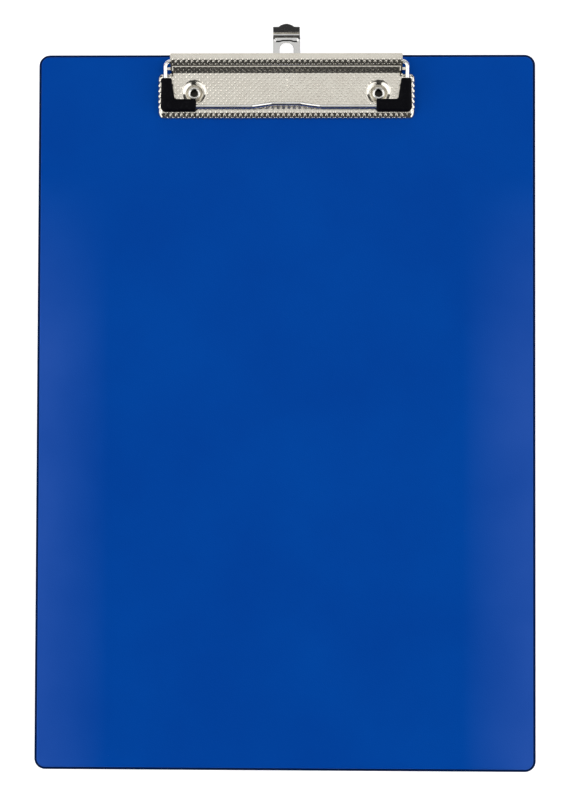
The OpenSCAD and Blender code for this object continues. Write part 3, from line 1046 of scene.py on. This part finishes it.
@dataclass
class Bow:
    """Spring wire bow with a hump in its front bar and a black sleeve on each front corner."""

    place: Place
    pivot: tuple[float, float] = (-4.1, 4.1)
    radius: float = 0.949
    arm: float = 56.3
    bar: float = -25.2
    leg: float = 12.0
    hump: tuple[float, float] = (6.2, 15.9)
    rise: float = 2.0
    lean: float = 1.0
    sleeve_out: tuple[float, float] = (58.5, -27.8)
    sleeve_in: tuple[float, float] = (51.9, -21.7)
    sleeve_ends: tuple[float, float] = (-12.9, 42.8)
    sleeve_height: float = 1.5

    def wire(self) -> np.ndarray:
        """Centre line of the whole wire, from one leg's end to the other's."""
        y, z = self.pivot
        half = np.array([
            [self.hump[0], self.bar + self.lean, z + self.rise], [self.hump[1], self.bar, z],
            [self.arm, self.bar, z], [self.arm, y, z], [self.leg, y, z]])
        corners = np.concatenate([half[::-1] * (-1, 1, 1), half])
        radii = [2.55, 3.0, 6.0, 6.0]
        return rounded_path(corners, radii + radii[::-1], 14, 0.8)

    def sleeve(self, side: Side) -> np.ndarray:
        """Skin of an L-shaped sleeve, as sections across it.

        Two lines run round the corner, one outside and one inside. A section spans them: middle +
        reach * c(a), at the height pivot + h * s(a), with c and s the cosine and sine raised to the
        power 0.55 so that the sleeve is flat-sided. Its ends flare a little and are rounded off.

        Args:
            side: which corner.

        Returns:
            Points, sections by places round each section.
        """
        (ox, oy), (ix, iy), (ey, ex) = self.sleeve_out, self.sleeve_in, self.sleeve_ends
        outer = rounded_path(np.array([[ox - 0.3, ey, 0], [ox, oy, 0], [ex, oy + 0.25, 0]]), [2.4],
                             12, 40)
        inner = rounded_path(np.array([[ix + 1.5, ey, 0], [ix, iy, 0], [ex, iy - 0.1, 0]]), [0.35],
                             12, 40)
        t = np.linspace(0, 1, 61)
        keys = np.linspace(0, 1, 13) * 0.24 + 0.38
        spots = np.concatenate([[0], keys, [1]])
        o, i = (np.stack([np.interp(t, spots, line[:, k]) for k in (0, 1)], -1)
                for line in (outer, inner))
        end = np.minimum(t, 1 - t)
        flare = 1 + 0.05 * ease((0.07 - end) / 0.06)
        b = np.radians([90, 90, 65, 40, 18])
        rounding = 1.05 - 0.3 * (1 - np.cos(b))
        rounding[0] = 0
        shape = np.concatenate([rounding, flare, rounding[::-1]])
        middle, reach = (np.concatenate([w[:1]] * 5 + [w] + [w[-1:]] * 5)
                         for w in ((o + i) / 2, (o - i) / 2))
        push = np.concatenate([0.9 * np.sin(b), 0 * t, 0 * b])[:, None]
        middle = middle + push * (0, 1) - push[::-1] * (1, 0)
        a = np.radians(np.linspace(0, 360, 41))[None]
        c, s = (np.sign(w) * np.abs(w) ** 0.55 for w in (np.cos(a), np.sin(a)))
        flat = middle[:, None] + (shape[:, None] * reach)[:, None] * c[..., None]
        points = raised(flat, self.pivot[1] + self.sleeve_height * shape[:, None] * s)
        return points * (side.value, 1, 1)

    def build(self, finishes: Finishes) -> None:
        """Makes the wire and both sleeves."""
        shell = Shell()
        shell.grid(tube(self.wire(), self.radius, 28, 0.4))
        wire = shell.make("bow_wire", self.place, 60)
        dress(wire, finishes.metals[Metal.WIRE])
        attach(wire, "bow")
        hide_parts("wire_bow")
        log.info("bow_wire: %d faces", len(wire.data.polygons))
        for side in Side:
            shell = Shell()
            shell.grid(self.sleeve(side))
            name = side.name.lower()
            piece = shell.make(f"{name}_sleeve", self.place, 60)
            dress(piece, finishes.vinyl)
            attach(piece, "bow")
            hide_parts(f"{name}_corner_sleeve")
            log.info("%s_sleeve: %d faces", name, len(piece.data.polygons))


@dataclass
class Rivet:
    """Hollow rivet: a head sunk in the back and a collar rolled over in the dish."""

    place: Place
    centre: tuple[float, float]
    side: Side
    bore: float = 1.6
    roll: float = 0.7
    roll_height: float = 1.2

    def profile(self) -> np.ndarray:
        """Radius and height from the head's middle, round the collar, to the bore's floor."""
        ring = arc((self.bore + self.roll, self.roll_height), self.roll, -110, 180, 28)
        return np.concatenate([
            [[0, -2.5], [1.2, -2.5], [1.35, -2.53], [2.9, -2.55]], arc((2.95, -2.3), 0.25, -90, -20, 6),
            [[3.7, -1.95]], arc((3.66, -1.91), 0.06, 0, 90, 3), [[2.1, -1.85], [2.0, -1.8], [2.0, 0.5]],
            ring, [[self.bore, 0.2], [self.bore, -1.1]], arc((self.bore - 0.15, -1.1), 0.15, 0, -90, 4),
            [[0, -1.25]]])

    def painted_shade(self, points: np.ndarray) -> np.ndarray:
        """How much painted shade darkens each point down the bore: 0 on the collar's crest, 1 inside.
        """
        points = points / MM - (*self.centre, 0) - (0, self.place.rear, self.place.face)
        r = np.hypot(points[:, 0], points[:, 1])
        return ease((self.bore + self.roll * 0.45 - r) / 0.25) * (points[:, 2] > -1.5)

    def build(self, finishes: Finishes) -> None:
        """Makes the rivet."""
        shell = Shell()
        shell.grid(turned(self.profile(), self.centre, 96))
        name = self.side.name.lower()
        piece = shell.make(f"{name}_hollow_rivet", self.place, 35)
        # Share of painted shade down the bore.
        mark(piece, "painted_shade", self.painted_shade)
        dress(piece, finishes.metals[Metal.RIVET])
        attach(piece, "board")
        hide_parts(f"{name}_rivet")
        log.info("%s_hollow_rivet: %d faces", name, len(piece.data.polygons))


@dataclass
class Hook:
    """Flat strip with an arched slot, a pressed step, and a bent-up lip with a domed edge."""

    place: Place
    tip: float
    half: float = 6.35
    slot: float = 3.3
    tail: float = -20.0
    slot_tail: float = -15.5
    arch: float = 2.0
    straight: float = 6.9
    top: float = 0.85
    thick: float = 0.7
    dome: float = 1.6
    dome_radius: float = 4.6
    edge: float = 0.09
    step: float = 0.3
    slope: float = 41.0
    rise: tuple[float, float, float] = (7.6, 8.5, 1.5)
    foot: tuple[float, float] = (9.2, 1.58)
    section: Section = field(init=False)

    def __post_init__(self) -> None:
        """Draws the section: flat, a short rise, a narrow flatter band, and the lip up to its tip."""
        slope = math.radians(self.slope)
        tip = self.tip - self.thick * math.sin(slope) - 0.03
        start, end, high = self.rise
        y, z = self.foot
        self.section = Section(rounded_path(np.array([
            [self.tail, self.top], [start, self.top], [end, high], [y, z],
            [tip, z + (tip - y) * math.tan(slope)]]), [0.5, 0.3, 0.3], 10, 0.4))

    def lip_edge(self, x: np.ndarray) -> np.ndarray:
        """Length at which the lip ends: its shoulders, plus the dome with a soft foot."""
        d = np.sqrt(np.clip(self.dome_radius ** 2 - x * x, 0, None)) - self.dome_radius + self.dome
        end = self.section.lengths[-1] + self.tail
        return end - self.dome - 0.05 + 0.5 * (d + np.sqrt(d * d + 0.09))

    def relief(self, x: np.ndarray, v: np.ndarray) -> np.ndarray:
        """Height of the step pressed into the strip behind the slot's arch, fading at its sides."""
        start = 5.35 + 0.45 * ease((3.6 - np.abs(x)) / 2.0)
        return self.step * ease((v - start) / 0.9) * np.maximum(
            ease((5.6 - np.abs(x)) / 0.8), ease((v - 6.9) / 0.7))

    def blocks(self, e: float) -> list[np.ndarray]:
        """The strip in flat blocks of x and length, drawn in by e from its outline and its slot."""
        f = np.linspace(0, math.pi, 33)
        rail = np.linspace(e - self.half, -self.slot - e, 13)
        span = -(self.slot + e) * np.cos(f)
        crown = self.arch + (self.slot + e) * np.sin(f)
        across = np.concatenate([rail[:-1], span, -rail[-2::-1]])
        low = np.linspace(self.tail + e, self.slot_tail - e, 9)
        side = np.linspace(self.slot_tail - e, self.arch, 25)
        t = np.linspace(0, 1, 25)
        upper = self.arch + (self.straight - self.arch) * t
        bent = np.linspace(self.straight, 10.2, 21)
        lip = bent[-1] + (self.lip_edge(across) - e - bent[-1]) * np.linspace(0, 1, 17)[:, None]
        pairs = [(across, low), (rail, side), (-rail, side), (rail, upper), (-rail, upper),
                 (across, bent)]
        grids = [np.stack(np.meshgrid(x, v), -1) for x, v in pairs]
        grids.append(np.stack(np.broadcast_arrays(
            span, crown + (self.straight - crown) * t[:, None]), -1))
        grids.append(np.stack(np.broadcast_arrays(across, lip), -1))
        return grids

    def outlines(self, e: float) -> list[np.ndarray]:
        """Closed lines of x and length round the strip and round its slot, drawn in by e."""
        tail, left, right, left_top, right_top, bent, arch, lip = self.blocks(e)
        outer = [tail[0], tail[1:, -1], right[1:, 0], right_top[1:, 0], bent[1:, -1], lip[1:, -1],
                 lip[-1, -2::-1], lip[-2::-1, 0], bent[-2::-1, 0], left_top[-2::-1, 0],
                 left[-2::-1, 0], tail[-2::-1, 0]]
        rail = left.shape[1] - 1
        inner = [tail[-1, rail:-rail], right[1:, -1], arch[0, -2::-1], left[-2::-1, -1]]
        return [np.concatenate(outer), np.concatenate(inner)]

    def bent(self, flat: np.ndarray, lift: float) -> np.ndarray:
        """Flat points carried along the section, lifted off its outer face."""
        x, v = flat[..., 0], flat[..., 1]
        y, z = self.section.at(v - self.tail, lift + self.relief(x, v))
        narrow = 1 - 0.01 * ease((v - 7.6) / 1.0)
        return np.stack([x * narrow, y, z], -1)

    def build(self, finishes: Finishes) -> None:
        """Bends the flat blocks up at the lip and makes the hook."""
        shell = Shell()
        for block in self.blocks(self.edge):
            shell.grid(self.bent(block, 0.0))
            shell.grid(self.bent(block, -self.thick))
        for full, small in zip(self.outlines(0.0), self.outlines(self.edge)):
            shell.grid(np.stack([self.bent(small, 0.0), self.bent(full, -self.edge),
                                 self.bent(full, self.edge - self.thick),
                                 self.bent(small, -self.thick)]))
        piece = shell.make("hook_strip", self.place, 30)
        dress(piece, finishes.metals[Metal.HOOK])
        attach(piece, "hook")
        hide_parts("hanging_hook")
        log.info("hook_strip: %d faces", len(piece.data.polygons))


# Floor, light and camera


@dataclass
class Studio:
    """White table, soft lights overhead, behind and at both sides, and a camera looking down."""

    distance: float = 1.032
    tilt: float = 2.1
    roll: float = 0.19
    turn: float = 1.4
    target: tuple[float, float] = (0.0005, 0.0049)
    aim: tuple[float, float, float] = (0.0, 0.12, 0.0)
    lens: float = 100.0
    world: float = 0.05

    def softbox(self, name: str, spot: Sequence[float], size: tuple[float, float],
                radiance: float) -> None:
        """Adds a soft rectangular light that faces the clipboard.

        Args:
            name: the light's name.
            spot: its middle, in metres.
            size: its two sides.
            radiance: its brightness.
        """
        data = bpy.data.lights.new(name, "AREA")
        data.shape = "RECTANGLE"
        data.size, data.size_y = size
        data.energy = radiance * 4 * size[0] * size[1]
        light = bpy.data.objects.new(name, data)
        light.location = spot
        light.rotation_mode = "QUATERNION"
        away = light.location - Vector(self.aim)
        light.rotation_quaternion = away.to_track_quat("Z", "Y")
        bpy.context.scene.collection.objects.link(light)

    def floor(self) -> None:
        """Adds the white table just under the clipboard, seen through from below."""
        mesh = bpy.data.meshes.new("table_top")
        r, z = 4.0, -0.0003
        mesh.from_pydata([(-r, -r, z), (r, -r, z), (r, r, z), (-r, r, z)], [], [(0, 1, 2, 3)])
        table = bpy.data.objects.new("table_top", mesh)
        bpy.context.scene.collection.objects.link(table)
        recipe = Recipe("white_table")
        recipe.set(Base_Color=(0.86, 0.86, 0.86, 1.0), Roughness=0.9)
        recipe.shader.inputs["Emission Color"].default_value = (1, 1, 1, 1)
        recipe.shader.inputs["Emission Strength"].default_value = 0.6
        clear = recipe.add("ShaderNodeBsdfTransparent").outputs["BSDF"]
        below = recipe.add("ShaderNodeNewGeometry").outputs["Backfacing"]
        mix = recipe.add("ShaderNodeMixShader", {0: below, 1: recipe.shader.outputs["BSDF"], 2: clear})
        recipe.feed(recipe.output.inputs["Surface"], mix.outputs["Shader"])
        dress(table, recipe.material)

    def surroundings(self) -> None:
        """Sets a dim world that looks white behind the table."""
        world = bpy.data.worlds.new("surroundings")
        bpy.context.scene.world = world
        world.use_nodes = True
        tree = world.node_tree
        path = tree.nodes.new("ShaderNodeLightPath").outputs["Is Camera Ray"]
        strength = tree.nodes.new("ShaderNodeMapRange")
        tree.links.new(path, strength.inputs["Value"])
        strength.inputs["To Min"].default_value = self.world
        tree.links.new(strength.outputs["Result"], tree.nodes["Background"].inputs["Strength"])
        tree.nodes["Background"].inputs["Color"].default_value = (1, 1, 1, 1)

    def camera(self, face: float) -> None:
        """Puts the camera above the writing face."""
        data = bpy.data.cameras.new("camera")
        data.lens = self.lens
        data.sensor_width = 36.0
        camera = bpy.data.objects.new("camera", data)
        view = (Quaternion((0, 1, 0), math.radians(self.turn))
                @ Quaternion((1, 0, 0), math.radians(self.tilt))
                @ Quaternion((0, 0, 1), math.radians(self.roll)))
        away = view @ Vector((0, 0, self.distance))
        camera.location = Vector((*self.target, face * MM)) + away
        camera.rotation_mode = "QUATERNION"
        camera.rotation_quaternion = view
        bpy.context.scene.collection.objects.link(camera)
        bpy.context.scene.camera = camera

    def build(self, place: Place) -> None:
        """Sets up table, lights, surroundings and camera."""
        self.floor()
        self.surroundings()
        self.softbox("overhead_softbox", (0, 0.55, 2.2), (0.9, 1.7), 0.66)
        self.softbox("rear_softbox", (0, 2.3, 1.2), (2.2, 1.3), 0.9)
        for side in Side:
            x, name = side.value, side.name.lower()
            self.softbox(f"{name}_high_softbox", (x * 1.2, 0.35, 1.95), (2.0, 1.2), 1.45)
            self.softbox(f"{name}_low_softbox", (x * 1.5, -0.55, 0.65), (3.2, 1.0), 1.4)
        self.camera(place.face)
        bpy.context.scene.view_settings.view_transform = "Standard"


def main() -> None:
    """Builds every sub-assembly, then the studio."""
    logging.basicConfig(level=logging.INFO, format="%(message)s")
    place = Place.from_frame()
    low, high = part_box("right_rivet")
    rivets = ((low.x + high.x) / 2 / MM, (low.y + high.y) / 2 / MM - place.rear)
    finishes = Finishes()
    Board(place, rivets).build(finishes)
    BasePlate(place, rivets).build(finishes)
    Lever(place).build(finishes)
    Bow(place).build(finishes)
    for side in Side:
        Rivet(place, (side.value * rivets[0], rivets[1]), side).build(finishes)
    Hook(place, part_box("hanging_hook")[1].y / MM - place.rear).build(finishes)
    Studio().build(place)


if __name__ == "__main__":
    main()
